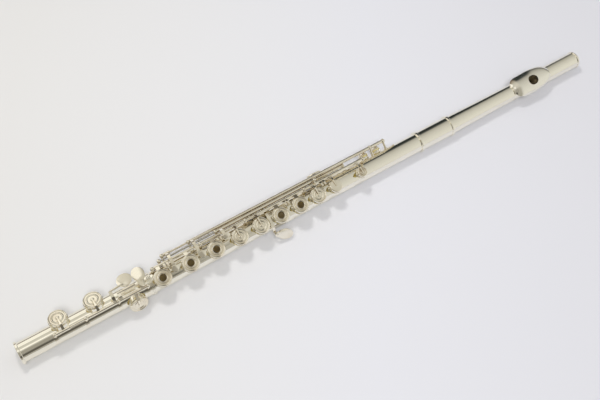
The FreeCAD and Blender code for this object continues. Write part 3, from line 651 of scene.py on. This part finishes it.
@dataclass(frozen=True)
class Plain:
    """A finish with a cloudy colour and a bump, for what isn't silver."""

    name: str
    colours: tuple[Colour, Colour]
    scale: float
    roughness: float
    metallic: float = 0.0
    bump: float = 0.3
    depth: float = 0.05 * MM
    stretch: Triple = (1.0, 1.0, 1.0)
    sheen: float = 0.0
    cloud_range: Span = (0.35, 0.65)
    cloud_height: float = 0.6
    fine_gain: float = 6.0
    fine_range: Span = (0.2, 0.8)
    fine_height: float = 0.4
    rough_gain: Span = (0.85, 1.15)

    def build(self) -> bpy.types.Material:
        """Make the material.

        Returns:
            The finished material.
        """
        material, shop = new_material(self.name)
        at = shop.place()
        cloud = shop.noise(at, self.scale, 4.0, self.stretch)
        fine = shop.noise(at, self.scale * self.fine_gain, 2.0, self.stretch)
        limits = [min(1.0, self.roughness * gain) for gain in self.rough_gain]
        height = cloud * self.cloud_height + fine * self.fine_height
        bump = {"Strength": self.bump, "Distance": self.depth, "Height": height}
        surface = {
            "Base Color": shop.mix(cloud.between(*self.cloud_range), *self.colours),
            "Metallic": self.metallic,
            "Roughness": fine.between(*self.fine_range, *limits),
            "Sheen Weight": self.sheen,
            "Normal": shop.node("ShaderNodeBump", {}, bump),
        }
        shop.finish(shop.node("ShaderNodeBsdfPrincipled", {}, surface))
        return material


SILVERS = (
    Silver(
        "tube_silver",
        tint=(0.93, 0.895, 0.79),
        tarnish_and_shade_colour=(0.86, 0.81, 0.68),
        roughness=0.085,
        turning=Turning.ROUND_BORE,
    ),
    Silver(
        "key_silver",
        # This dark brown clouds the keywork and fills its nooks, where it is partly tarnish and
        # partly painted shade.
        tint=(0.94, 0.89, 0.765),
        tarnish_and_shade_colour=(0.50, 0.38, 0.22),
        roughness=0.09,
        nook_tarnish_and_shade=0.8,
    ),
    Silver("lip_silver", tint=(0.93, 0.90, 0.81), tarnish_and_shade_colour=(0.86, 0.82, 0.71), roughness=0.10),
    Silver(
        "crown_silver",
        tint=(0.94, 0.905, 0.82),
        tarnish_and_shade_colour=(0.86, 0.81, 0.70),
        roughness=0.07,
        turning=Turning.ROUND_BORE,
    ),
)
PLAINS = (
    Plain(
        "steel_rod",
        colours=((0.56, 0.55, 0.53), (0.66, 0.65, 0.62)),
        scale=900.0,
        roughness=0.22,
        metallic=1.0,
        bump=0.1,
        depth=0.01 * MM,
        stretch=(0.1, 1.0, 1.0),
    ),
    Plain(
        "spring_steel",
        colours=((0.05, 0.08, 0.22), (0.09, 0.12, 0.30)),
        scale=700.0,
        roughness=0.28,
        metallic=1.0,
    ),
    Plain(
        "pad_skin",
        colours=((0.98, 0.84, 0.30), (0.84, 0.67, 0.18)),
        scale=420.0,
        roughness=0.42,
        bump=0.5,
        depth=0.12 * MM,
        sheen=0.1,
    ),
    Plain(
        "cork",
        colours=((0.55, 0.36, 0.20), (0.36, 0.21, 0.11)),
        scale=900.0,
        roughness=0.8,
        bump=0.8,
        depth=0.15 * MM,
    ),
    Plain(
        "felt",
        colours=((0.30, 0.12, 0.06), (0.20, 0.07, 0.03)),
        scale=1500.0,
        roughness=0.95,
        bump=0.9,
        depth=0.2 * MM,
        sheen=0.4,
    ),
)


# ---- meshes --------------------------------------------------------------------------------------


def smooth_tree(angle: float) -> bpy.types.NodeTree:
    """Geometry tree that shades smooth all but the edges sharper than an angle.

    Args:
        angle: Sharpest smooth edge, in degrees.

    Returns:
        The tree.
    """
    recipe = Recipe("smooth_by_angle", {"Angle": math.radians(angle)})
    corner = recipe.node("GeometryNodeInputMeshEdgeAngle", {}, {}, "Unsigned Angle")
    compare = {"data_type": "FLOAT", "operation": "LESS_EQUAL"}
    soft = recipe.node("FunctionNodeCompare", compare, {0: corner, 1: recipe.inlet("Angle")})
    shade = "GeometryNodeSetShadeSmooth"
    faces = recipe.node(shade, {"domain": "FACE"}, {"Geometry": recipe.inlet("Geometry")})
    edges = recipe.node(shade, {"domain": "EDGE"}, {"Geometry": faces, "Shade Smooth": soft})
    recipe.finish(edges)
    return recipe.tree


def islands(node: str) -> list[np.ndarray]:
    """Corner points of each separate solid of a CAD node.

    Args:
        node: The node's name.

    Returns:
        One array of points for each solid, from the foot up.
    """
    mesh = bmesh.new()
    mesh.from_mesh(frame["nodes"][node].data)
    bmesh.ops.remove_doubles(mesh, verts=mesh.verts, dist=WELD)
    left = set(mesh.verts)
    found = []
    while left:
        queue = [left.pop()]
        part = []
        while queue:
            vert = queue.pop()
            part.append(tuple(vert.co))
            for edge in vert.link_edges:
                other = edge.other_vert(vert)
                if other in left:
                    left.remove(other)
                    queue.append(other)
        found.append(np.array(part))
    mesh.free()
    return sorted(found, key=lambda points: points[:, 0].min())


def new_piece(name: str, mesh: bmesh.types.BMesh, material: bpy.types.Material) -> bpy.types.Object:
    """Make an object at the origin from a built mesh.

    Args:
        name: The piece's name.
        mesh: Its geometry, which is freed.
        material: Its finish.

    Returns:
        The linked object.
    """
    data = bpy.data.meshes.new(name)
    bmesh.ops.recalc_face_normals(mesh, faces=mesh.faces)
    mesh.to_mesh(data)
    mesh.free()
    piece = bpy.data.objects.new(name, data)
    bpy.context.scene.collection.objects.link(piece)
    data.materials.append(material)
    return piece


# ---- sub-assemblies ------------------------------------------------------------------------------


@dataclass
class Metalwork:
    """The CAD nodes, which keep their form and get their finish here."""

    smooth_angle: float = 32.0

    def dress(self, materials: dict[str, bpy.types.Material]) -> int:
        """Give every CAD node its finish and smooth shading.

        Args:
            materials: Finishes by the record's slot names.

        Returns:
            How many nodes were dressed.
        """
        tree = smooth_tree(self.smooth_angle)
        slots = {part["node"]: part["material_slot"] for part in frame["record"]["subparts"]}
        for name, node in frame["nodes"].items():
            node.data.materials.clear()
            node.data.materials.append(materials[slots[name]])
            weld = node.modifiers.new("weld", "WELD")
            weld.merge_threshold = WELD
            smooth = node.modifiers.new("smooth", "NODES")
            smooth.node_group = tree
        return len(frame["nodes"])


@dataclass
class KeyPads:
    """Felt pads in their skins: soft crowned discs, marked by the tone hole's rim.

    A pad's outline is a list of points, each a share of the way from its hole to its edge and a
    share of its thickness, from the seat up to its back.
    """

    steps_round: int = 72
    steps_across: int = 41
    ring_hole: float = 0.45
    solid_share: float = 0.7
    seam: float = 1e-4
    outline: tuple[Span, ...] = (
        (0.00, 0.085),
        (0.30, 0.035),
        (0.62, 0.010),
        (0.83, 0.012),
        (0.87, 0.055),
        (0.91, 0.020),
        (0.97, 0.060),
        (1.00, 0.220),
        (0.995, 0.600),
        (0.97, 0.850),
        (0.88, 0.990),
        (0.00, 1.000),
    )

    def build(self, material: bpy.types.Material) -> list[bpy.types.Object]:
        """Replace each CAD pad node with modelled pads.

        Args:
            material: The skin's finish.

        Returns:
            The pieces made.
        """
        recipe = self._recipe()
        bodies = frame["record"]["behaviour"]["bodies"]
        owners = {name: body for body, names in bodies.items() for name in names}
        made = []
        for name in sorted(node for node in frame["nodes"] if node.endswith("_pad")):
            seats = [self._seat(points) for points in islands(name)]
            holed = [seat["hole"] for seat in seats if seat["hole"] > 0.0]
            sizes = {
                "Steps Round": self.steps_round,
                "Steps Across": self.steps_across,
                "Hole": holed[0] if holed else self.ring_hole,
                "Finish": material,
            }
            piece = recipe.make(name + "_skin", self._points(seats), sizes)
            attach(piece, owners[name])
            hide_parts(name)
            made.append(piece)
        return made

    def _seat(self, points: np.ndarray) -> dict[str, Any]:
        """Read where a CAD pad sits.

        Args:
            points: The CAD pad's corners.

        Returns:
            Its seat's centre, axis away from the tube, scale, and hole as a share of its radius.
        """
        middle = (points.max(axis=0) + points.min(axis=0)) / 2
        spread = points - middle
        normal = np.linalg.svd(spread, full_matrices=False)[2][2]
        if np.dot(normal, middle * np.array(ACROSS_BORE)) < 0:
            normal = -normal
        height = spread @ normal
        reach = np.linalg.norm(spread - np.outer(height, normal), axis=1)
        radius, low, high = reach.max(), height.min(), height.max()
        share = reach.min() / radius
        return {
            "centre": middle + normal * low,
            "axis": normal,
            "size": (radius, radius, high - low),
            "hole": float(share) if share < self.solid_share else 0.0,
        }

    @staticmethod
    def _points(seats: Sequence[dict[str, Any]]) -> bpy.types.Mesh:
        """Lay one vertex at each pad's seat, with its axis, size and kind.

        Adding an attribute moves the others in memory, so all are made before any is filled.

        Args:
            seats: What _seat gave for each pad.

        Returns:
            The mesh of vertices.
        """
        mesh = bpy.data.meshes.new("seats")
        mesh.from_pydata([tuple(seat["centre"]) for seat in seats], [], [])
        for name, kind in (("axis", "FLOAT_VECTOR"), ("size", "FLOAT_VECTOR"), ("kind", "INT")):
            mesh.attributes.new(name, kind, "POINT")
        for i, seat in enumerate(seats):
            mesh.attributes["axis"].data[i].vector = seat["axis"]
            mesh.attributes["size"].data[i].vector = seat["size"]
            mesh.attributes["kind"].data[i].value = int(seat["hole"] > 0.0)
        return mesh

    def _recipe(self) -> Recipe:
        """Build the geometry tree that sets a pad on each vertex.

        Returns:
            The recipe.
        """
        inlets = {
            "Steps Round": self.steps_round,
            "Steps Across": self.steps_across,
            "Hole": self.ring_hole,
            "Finish": None,
        }
        recipe = Recipe("key_pads", inlets)
        kinds = [
            recipe.node("GeometryNodeGeometryToInstance", {}, {0: self._disc(recipe, hole)})
            for hole in (0.0, recipe.inlet("Hole"))
        ]
        axis = {"Vector": recipe.named("axis", "FLOAT_VECTOR")}
        placing = {
            "Points": recipe.inlet("Geometry"),
            "Instance": recipe.join(kinds),
            "Pick Instance": True,
            "Instance Index": recipe.named("kind", "INT"),
            "Rotation": recipe.node("FunctionNodeAlignRotationToVector", {"axis": "Z"}, axis),
            "Scale": recipe.named("size", "FLOAT_VECTOR"),
        }
        pads = recipe.node("GeometryNodeInstanceOnPoints", {}, placing)
        recipe.finish_clad(pads, recipe.inlet("Finish"))
        return recipe

    def _disc(self, recipe: Recipe, hole: Any) -> Wire:
        """Turn the outline about Z into a pad of radius and thickness 1.

        Args:
            recipe: Tree to add to.
            hole: Radius of its hole, 0 for none.

        Returns:
            The closed mesh.
        """
        grid = {
            "Size X": 1.0,
            "Size Y": 1.0,
            "Vertices X": recipe.inlet("Steps Round"),
            "Vertices Y": recipe.inlet("Steps Across"),
        }
        sheet = recipe.node("GeometryNodeMeshGrid", {}, grid, "Mesh")
        flat = recipe.node("GeometryNodeInputPosition", {}, {})
        # The grid is centred, so each side starts at 0 once half its size is added.
        angle = (recipe.part(flat, "X") + 0.5) * math.tau
        along = recipe.part(flat, "Y") + 0.5
        steps = [math.dist(a, b) for a, b in zip(self.outline, self.outline[1:])]
        lengths = np.cumsum([0.0] + steps)
        stations = [float(length / lengths[-1]) for length in lengths]
        across, height = (
            recipe.curve(along, [(s, point[i]) for s, point in zip(stations, self.outline)])
            for i in range(2)
        )
        reach = across * (1.0 - hole) + hole
        corner = {0: reach * angle.cosine(), 1: reach * angle.sine(), 2: height}
        spot = recipe.node("ShaderNodeCombineXYZ", {}, corner)
        turned = recipe.node("GeometryNodeSetPosition", {}, {"Geometry": sheet, "Position": spot})
        closing = {"Geometry": turned, "Distance": self.seam}
        return recipe.node("GeometryNodeMergeByDistance", {}, closing)


# ---- room, light and camera ----------------------------------------------------------------------


@dataclass(frozen=True)
class Card:
    """A flat card round the flute that only polished metal shows."""

    name: str
    corners: tuple[Point, ...]
    colour: Colour
    fade: float
    widest_fade: float = 0.49

    def build(self) -> bpy.types.Object:
        """Make the card.

        Returns:
            The card.
        """
        mesh = bmesh.new()
        mesh.faces.new([mesh.verts.new(corner) for corner in self.corners])
        material, shop = new_material(self.name)
        clear = shop.node("ShaderNodeBsdfTransparent", {}, {})
        shop.finish(shop.mix_shaders(self._solidity(shop), clear, shop.glow(self.colour)))
        card = new_piece(self.name, mesh, material)
        card.visible_camera = False
        card.visible_diffuse = False
        card.visible_shadow = False
        card.visible_transmission = False
        return card

    def _solidity(self, shop: NodeShop) -> Wire:
        """Solidity that fades to nothing at the card's edges.

        Args:
            shop: Maker of nodes.

        Returns:
            The solidity.
        """
        at = shop.node("ShaderNodeTexCoord", {}, {}, "Generated")
        spread = [max(places) - min(places) for places in zip(*self.corners)]
        flat = spread.index(min(spread))
        sides = []
        for i, axis in enumerate("XYZ"):
            if i != flat:
                along = shop.part(at, axis)
                soft = min(self.widest_fade, self.fade / spread[i])
                sides.append(along.between(0.0, soft) * along.between(1.0 - soft, 1.0, 1.0, 0.0))
        return sides[0] * sides[1]


def upright(y: float, x: Span, z: Span) -> tuple[Point, ...]:
    """Corners of a card that stands across the room.

    Args:
        y: How far along the room it stands.
        x: Its left and right edges.
        z: Its lower and upper edges.

    Returns:
        The four corners.
    """
    return ((x[0], y, z[0]), (x[1], y, z[0]), (x[1], y, z[1]), (x[0], y, z[1]))


def level(z: float, x: Span, y: Span) -> tuple[Point, ...]:
    """Corners of a card that lies flat overhead.

    Args:
        z: Its height.
        x: Its left and right edges.
        y: Its near and far edges.

    Returns:
        The four corners.
    """
    return ((x[0], y[0], z), (x[1], y[0], z), (x[1], y[1], z), (x[0], y[1], z))


@dataclass(frozen=True)
class Lamp:
    """A round lamp, aimed at the flute, that the silver doesn't mirror.

    Its size is its diameter in metres and its power is in watts.
    """

    name: str
    size: float
    power: float
    place: Point
    colour: Colour
    target: Point = (0.26, 0.0, 0.0)

    def build(self) -> None:
        """Hang the lamp."""
        light = bpy.data.lights.new(self.name, "AREA")
        light.shape = "DISK"
        light.size, light.energy, light.color = self.size, self.power, self.colour
        lamp = bpy.data.objects.new(self.name, light)
        lamp.location = self.place
        lamp.visible_glossy = False
        aim = Vector(self.target) - lamp.location
        lamp.rotation_euler = aim.to_track_quat("-Z", "Y").to_euler()
        bpy.context.scene.collection.objects.link(lamp)


CARDS = (
    Card(
        "window",
        upright(y=0.5, x=(-0.6, 0.34), z=(0.06, 0.74)),
        colour=(1.0, 0.98, 0.91),
        fade=0.10,
    ),
    Card(
        "ceiling_strip",
        level(z=1.0, x=(-0.5, 0.30), y=(-0.20, 0.26)),
        colour=(1.0, 0.98, 0.92),
        fade=0.14,
    ),
    Card(
        "visitor_shirt",
        upright(y=-0.55, x=(-0.6, 0.52), z=(0.36, 1.9)),
        colour=(0.35, 0.335, 0.295),
        fade=0.26,
    ),
    Card(
        "visitor_coat",
        upright(y=-0.55, x=(-0.5, 0.34), z=(0.10, 0.50)),
        colour=(0.085, 0.078, 0.066),
        fade=0.14,
    ),
)
LAMPS = (
    Lamp(
        "overhead",
        size=0.22,
        power=4.3,
        place=(0.20, 0.42, 1.20),
        colour=(1.0, 0.985, 0.955),
    ),
    Lamp(
        "room_fill",
        size=0.9,
        power=37.0,
        place=(-0.40, -1.15, 2.75),
        colour=(0.99, 0.99, 1.0),
    ),
)


@dataclass(frozen=True)
class Floor:
    """Pale surface under the flute, which fades into haze far away. Its colour runs along one
    direction from warm and a little darker to bluish: painted light, for warmer and cooler light
    across the surface.
    """

    size: float = 5.0
    # Painted light: warm and a little darker at one end, bluish at the other.
    colours: Stops = (
        (0.0, (0.795, 0.785, 0.765)),
        (0.35, (0.810, 0.808, 0.818)),
        (0.6, (0.812, 0.814, 0.852)),
        (1.0, (0.800, 0.798, 0.835)),
    )
    colours_way: Triple = (0.84, -0.53, 0.0)
    colours_start: float = -0.05
    colours_gain: float = 1.6
    roughness: float = 0.6
    specular: float = 0.2
    haze_range: Span = (0.8, 2.2)

    def build(self, haze: Colour) -> bpy.types.Object:
        """Lay the surface.

        Args:
            haze: Colour that the camera sees far away.

        Returns:
            The surface.
        """
        mesh = bmesh.new()
        bmesh.ops.create_grid(mesh, x_segments=2, y_segments=2, size=self.size / 2)
        low, high = CAD_BOX
        centre = Vector(((low[0] + high[0]) / 2, (low[1] + high[1]) / 2, low[2]))
        bmesh.ops.translate(mesh, verts=mesh.verts, vec=centre)
        material, shop = new_material("pale_surface")
        at = shop.place()
        # Place along the painted warm-to-cool light.
        across = shop.measure("DOT_PRODUCT", at, self.colours_way) - self.colours_start
        surface = {
            "Base Color": shop.ramp(across * self.colours_gain, self.colours),
            "Roughness": self.roughness,
            "Specular IOR Level": self.specular,
        }
        paper = shop.node("ShaderNodeBsdfPrincipled", {}, surface)
        away = shop.measure("DISTANCE", at, tuple(centre))
        faded = shop.ray("Camera") * away.between(*self.haze_range)
        shop.finish(shop.mix_shaders(faded, paper, shop.glow(haze)))
        return new_piece("floor", mesh, material)


@dataclass
class Studio:
    """Pale surface, soft overhead light and the room that the silver mirrors.

    The silver mirrors one wall where it faces the crown and another where it faces the foot. Each
    runs from the near side to the far side.
    """

    haze: Colour = (0.775, 0.775, 0.795)
    sky: Colour = (0.42, 0.42, 0.4242)
    crown_wall: Stops = (
        (0.0, (0.76, 0.75, 0.70)),
        (0.20, (0.69, 0.68, 0.625)),
        (0.50, (0.585, 0.575, 0.525)),
        (0.66, (0.50, 0.49, 0.445)),
        (0.76, (0.42, 0.41, 0.37)),
        (0.82, (0.25, 0.245, 0.225)),
        (0.865, (0.08, 0.085, 0.081)),
        (0.91, (0.034, 0.040, 0.038)),
    )
    crown_wall_shift: float = 0.30
    crown_wall_shift_range: Span = (0.47, 0.62)
    foot_wall: Stops = (
        (0.0, (0.40, 0.385, 0.34)),
        (0.30, (0.42, 0.40, 0.35)),
        (0.45, (0.60, 0.575, 0.51)),
        (0.62, (0.66, 0.635, 0.565)),
        (0.80, (0.56, 0.54, 0.475)),
        (0.92, (0.40, 0.355, 0.29)),
        (1.0, (0.17, 0.135, 0.10)),
    )
    wall_range: Span = (0.14, 0.40)

    def build(self) -> None:
        """Make the floor, the world, the lamps and the cards."""
        Floor().build(self.haze)
        self._world()
        for lamp in LAMPS:
            lamp.build()
        [card.build() for card in CARDS]

    def _world(self) -> None:
        """Set even light on the surfaces, walls for the silver to mirror, and haze behind."""
        world = bpy.data.worlds.new("room")
        bpy.context.scene.world = world
        world.use_nodes = True
        shop = NodeShop(world.node_tree, "ShaderNodeOutputWorld")
        way = shop.node("ShaderNodeTexCoord", {}, {}, "Generated")
        toward_crown = shop.measure("DOT_PRODUCT", way, TOWARD_CROWN)
        toward_far = shop.measure("DOT_PRODUCT", shop.out_from_bore(way), TOWARD_FAR)
        shift = toward_crown.between(*self.crown_wall_shift_range, 0.0, self.crown_wall_shift)
        crown_side = shop.ramp((toward_far - shift).as_share(), self.crown_wall)
        foot_side = shop.ramp(toward_far.as_share(), self.foot_wall)
        mirrored = shop.mix(toward_crown.between(*self.wall_range), foot_side, crown_side)
        indoors = shop.mix(shop.ray("Glossy"), self.sky, mirrored)
        colour = shop.mix(shop.ray("Camera"), indoors, self.haze)
        shop.finish(shop.node("ShaderNodeBackground", {}, {"Color": colour, "Strength": 1.0}))


@dataclass
class Viewpoint:
    """Camera above the key side, near the foot, looking down on the flute."""

    place: Point = (0.030794, -0.316210, 0.783139)
    right: Triple = (0.841729, -0.534822, 0.073869)
    up: Triple = (0.444517, 0.764159, 0.467403)
    lens: float = 53.12
    sensor: float = 36.0
    clip: Span = (0.02, 20.0)

    def build(self) -> None:
        """Make the camera and make it the scene's own."""
        data = bpy.data.cameras.new("camera")
        data.lens, data.sensor_width = self.lens, self.sensor
        data.clip_start, data.clip_end = self.clip
        camera = bpy.data.objects.new("camera", data)
        right, up = Vector(self.right), Vector(self.up)
        turn = Matrix((right, up, right.cross(up))).transposed().to_4x4()
        turn.translation = Vector(self.place)
        camera.matrix_world = turn
        bpy.context.scene.collection.objects.link(camera)
        bpy.context.scene.camera = camera


def main() -> None:
    """Dress the flute, light it and set the camera."""
    logging.basicConfig(level=logging.INFO, format="%(name)s: %(message)s")
    bpy.context.scene.view_settings.view_transform = "Standard"
    materials = {finish.name: finish.build() for finish in SILVERS + PLAINS}
    LOG.info("dressed %d CAD nodes", Metalwork().dress(materials))
    pads = KeyPads().build(materials["pad_skin"])
    LOG.info("made %d pad pieces", len(pads))
    Studio().build()
    Viewpoint().build()
    LOG.info("set the room and the camera")


if __name__ == "__main__":
    main()
